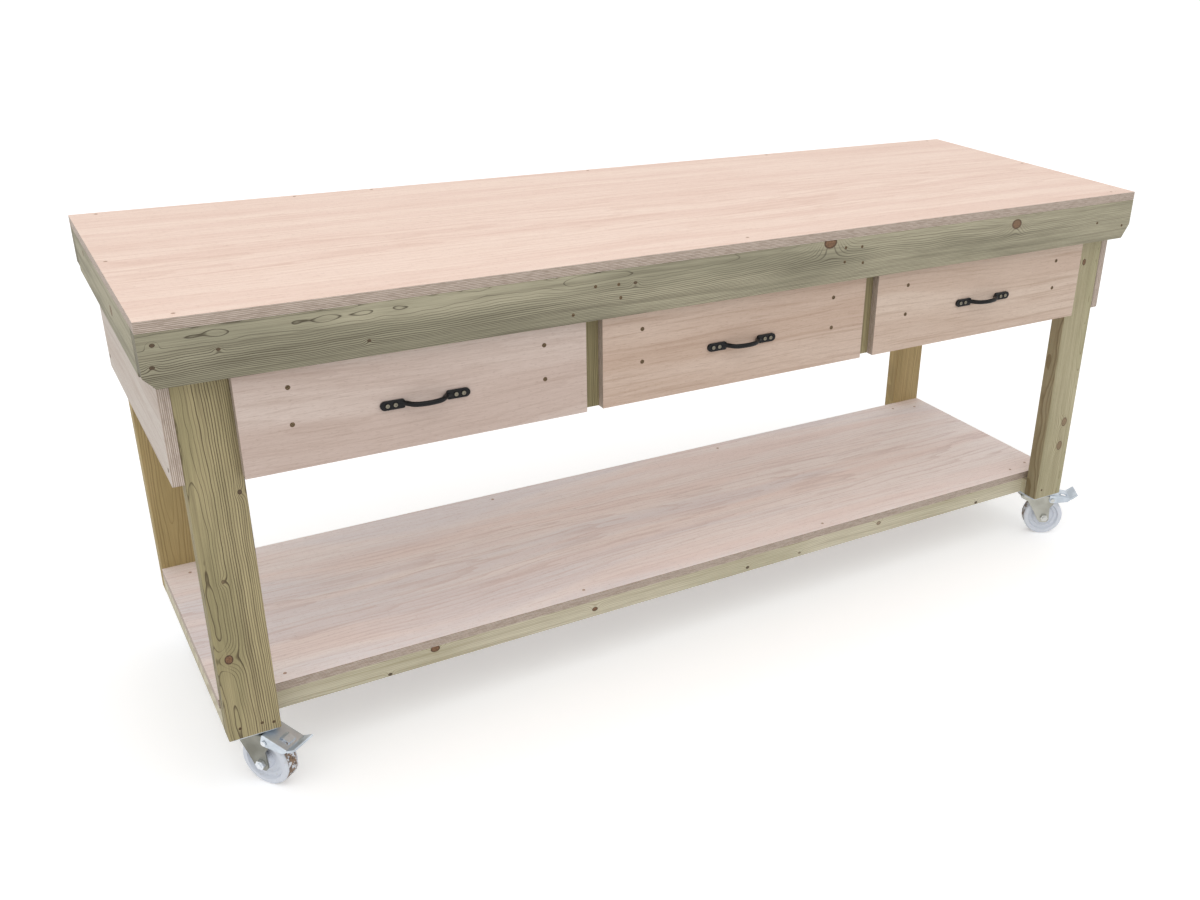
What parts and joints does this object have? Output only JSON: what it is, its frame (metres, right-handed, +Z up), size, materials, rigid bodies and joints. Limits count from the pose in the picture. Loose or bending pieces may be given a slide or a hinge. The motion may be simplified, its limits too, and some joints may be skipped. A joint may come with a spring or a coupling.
{
  "type": "mobile workbench",
  "caption": "Timber workbench with a plywood top, bow-handled drawers on runners, a full-length undershelf and braked swivel castors.",
  "frame": {"origin": "on the floor, under the middle of the whole bench's box at rest; the front right castor's pedal stands out past the worktop's end, so the worktop's own middle is 15.1 mm to the left", "axes": "+X to the right along the front, +Y from the front to the back, +Z up"},
  "size_m": [2.1602, 0.7248, 0.91],
  "materials": {
    "plywood": "bare plywood, fine pinkish grain",
    "softwood": "planed treated softwood, khaki, with knots",
    "drawer_plywood": "thin bare plywood",
    "black_iron": "satin black coating",
    "zinc_steel": "bright zinc plating",
    "white_nylon": "bluish white moulded nylon"
  },
  "bodies": {
    "bench": {"worktop": "plywood", "top_front_rail": "softwood", "top_back_rail": "softwood", "top_end_rail_left": "softwood", "top_end_rail_right": "softwood", "leg_front_left": "softwood", "leg_front_right": "softwood", "leg_back_left": "softwood", "leg_back_right": "softwood", "divider_post_front_left": "softwood", "divider_post_front_right": "softwood", "divider_post_back_left": "softwood", "divider_post_back_right": "softwood", "runner_bearer_left_end": "softwood", "runner_bearer_left_divider": "softwood", "runner_bearer_right_divider": "softwood", "runner_bearer_right_end": "softwood", "side_panel_left": "plywood", "side_panel_right": "plywood", "lower_end_rail_left": "softwood", "lower_end_rail_right": "softwood", "lower_front_rail": "softwood", "lower_back_rail": "softwood", "undershelf": "plywood", "cabinet_runners": "zinc_steel", "castor_screws": "zinc_steel", "castor_front_left_plate": "zinc_steel", "castor_front_right_plate": "zinc_steel", "castor_back_left_plate": "zinc_steel", "castor_back_right_plate": "zinc_steel"},
    "drawer_left": {"drawer_left_front": "plywood", "drawer_left_sides": "drawer_plywood", "drawer_left_ends": "drawer_plywood", "drawer_left_bottom": "drawer_plywood", "drawer_left_handle": "black_iron", "drawer_left_slides": "zinc_steel"},
    "drawer_middle": {"drawer_middle_front": "plywood", "drawer_middle_sides": "drawer_plywood", "drawer_middle_ends": "drawer_plywood", "drawer_middle_bottom": "drawer_plywood", "drawer_middle_handle": "black_iron", "drawer_middle_slides": "zinc_steel"},
    "drawer_right": {"drawer_right_front": "plywood", "drawer_right_sides": "drawer_plywood", "drawer_right_ends": "drawer_plywood", "drawer_right_bottom": "drawer_plywood", "drawer_right_handle": "black_iron", "drawer_right_slides": "zinc_steel"},
    "castor_front_left_swivel": {"castor_front_left_fork": "zinc_steel"},
    "castor_front_left_roller": {"castor_front_left_wheel": "white_nylon"},
    "castor_front_left_brake": {"castor_front_left_pedal": "zinc_steel"},
    "castor_front_right_swivel": {"castor_front_right_fork": "zinc_steel"},
    "castor_front_right_roller": {"castor_front_right_wheel": "white_nylon"},
    "castor_front_right_brake": {"castor_front_right_pedal": "zinc_steel"},
    "castor_back_left_swivel": {"castor_back_left_fork": "zinc_steel"},
    "castor_back_left_roller": {"castor_back_left_wheel": "white_nylon"},
    "castor_back_left_brake": {"castor_back_left_pedal": "zinc_steel"},
    "castor_back_right_swivel": {"castor_back_right_fork": "zinc_steel"},
    "castor_back_right_roller": {"castor_back_right_wheel": "white_nylon"},
    "castor_back_right_brake": {"castor_back_right_pedal": "zinc_steel"}
  },
  "joints": [
    {"name": "drawer_left_slide", "type": "slide", "parent": "bench", "child": "drawer_left", "axis": [0, -1, 0], "range_m": [0, 0.38]},
    {"name": "drawer_middle_slide", "type": "slide", "parent": "bench", "child": "drawer_middle", "axis": [0, -1, 0], "range_m": [0, 0.38]},
    {"name": "drawer_right_slide", "type": "slide", "parent": "bench", "child": "drawer_right", "axis": [0, -1, 0], "range_m": [0, 0.38]},
    {"name": "castor_front_left_swivel_turn", "type": "hinge", "parent": "bench", "child": "castor_front_left_swivel", "pos_m": [-0.99761, -0.2505, 0.125], "axis": [0, 0, 1], "continuous": true},
    {"name": "castor_front_left_roller_roll", "type": "hinge", "parent": "castor_front_left_swivel", "child": "castor_front_left_roller", "pos_m": [-0.97527, -0.28124, 0.05], "axis": [0.809, 0.5878, 0], "continuous": true},
    {"name": "castor_front_left_brake_press", "type": "hinge", "parent": "castor_front_left_swivel", "child": "castor_front_left_brake", "pos_m": [-0.96646, -0.29338, 0.102], "axis": [0.809, 0.5878, 0], "range_deg": [-12, 0]},
    {"name": "castor_front_right_swivel_turn", "type": "hinge", "parent": "bench", "child": "castor_front_right_swivel", "pos_m": [0.96739, -0.2505, 0.125], "axis": [0, 0, 1], "continuous": true},
    {"name": "castor_front_right_roller_roll", "type": "hinge", "parent": "castor_front_right_swivel", "child": "castor_front_right_roller", "pos_m": [0.99926, -0.2712, 0.05], "axis": [0.5446, 0.8387, 0], "continuous": true},
    {"name": "castor_front_right_brake_press", "type": "hinge", "parent": "castor_front_right_swivel", "child": "castor_front_right_brake", "pos_m": [1.01184, -0.27937, 0.102], "axis": [0.5446, 0.8387, 0], "range_deg": [0, 12]},
    {"name": "castor_back_left_swivel_turn", "type": "hinge", "parent": "bench", "child": "castor_back_left_swivel", "pos_m": [-0.99761, 0.2505, 0.125], "axis": [0, 0, 1], "continuous": true},
    {"name": "castor_back_left_roller_roll", "type": "hinge", "parent": "castor_back_left_swivel", "child": "castor_back_left_roller", "pos_m": [-0.9685, 0.27493, 0.05], "axis": [-0.6428, 0.766, 0], "continuous": true},
    {"name": "castor_back_left_brake_press", "type": "hinge", "parent": "castor_back_left_swivel", "child": "castor_back_left_brake", "pos_m": [-0.95701, 0.28457, 0.102], "axis": [-0.6428, 0.766, 0], "range_deg": [0, 12]},
    {"name": "castor_back_right_swivel_turn", "type": "hinge", "parent": "bench", "child": "castor_back_right_swivel", "pos_m": [0.96739, 0.2505, 0.125], "axis": [0, 0, 1], "continuous": true},
    {"name": "castor_back_right_roller_roll", "type": "hinge", "parent": "castor_back_right_swivel", "child": "castor_back_right_roller", "pos_m": [0.94505, 0.28124, 0.05], "axis": [-0.809, -0.5878, 0], "continuous": true},
    {"name": "castor_back_right_brake_press", "type": "hinge", "parent": "castor_back_right_swivel", "child": "castor_back_right_brake", "pos_m": [0.93624, 0.29338, 0.102], "axis": [-0.809, -0.5878, 0], "range_deg": [-12, 0]}
  ]
}
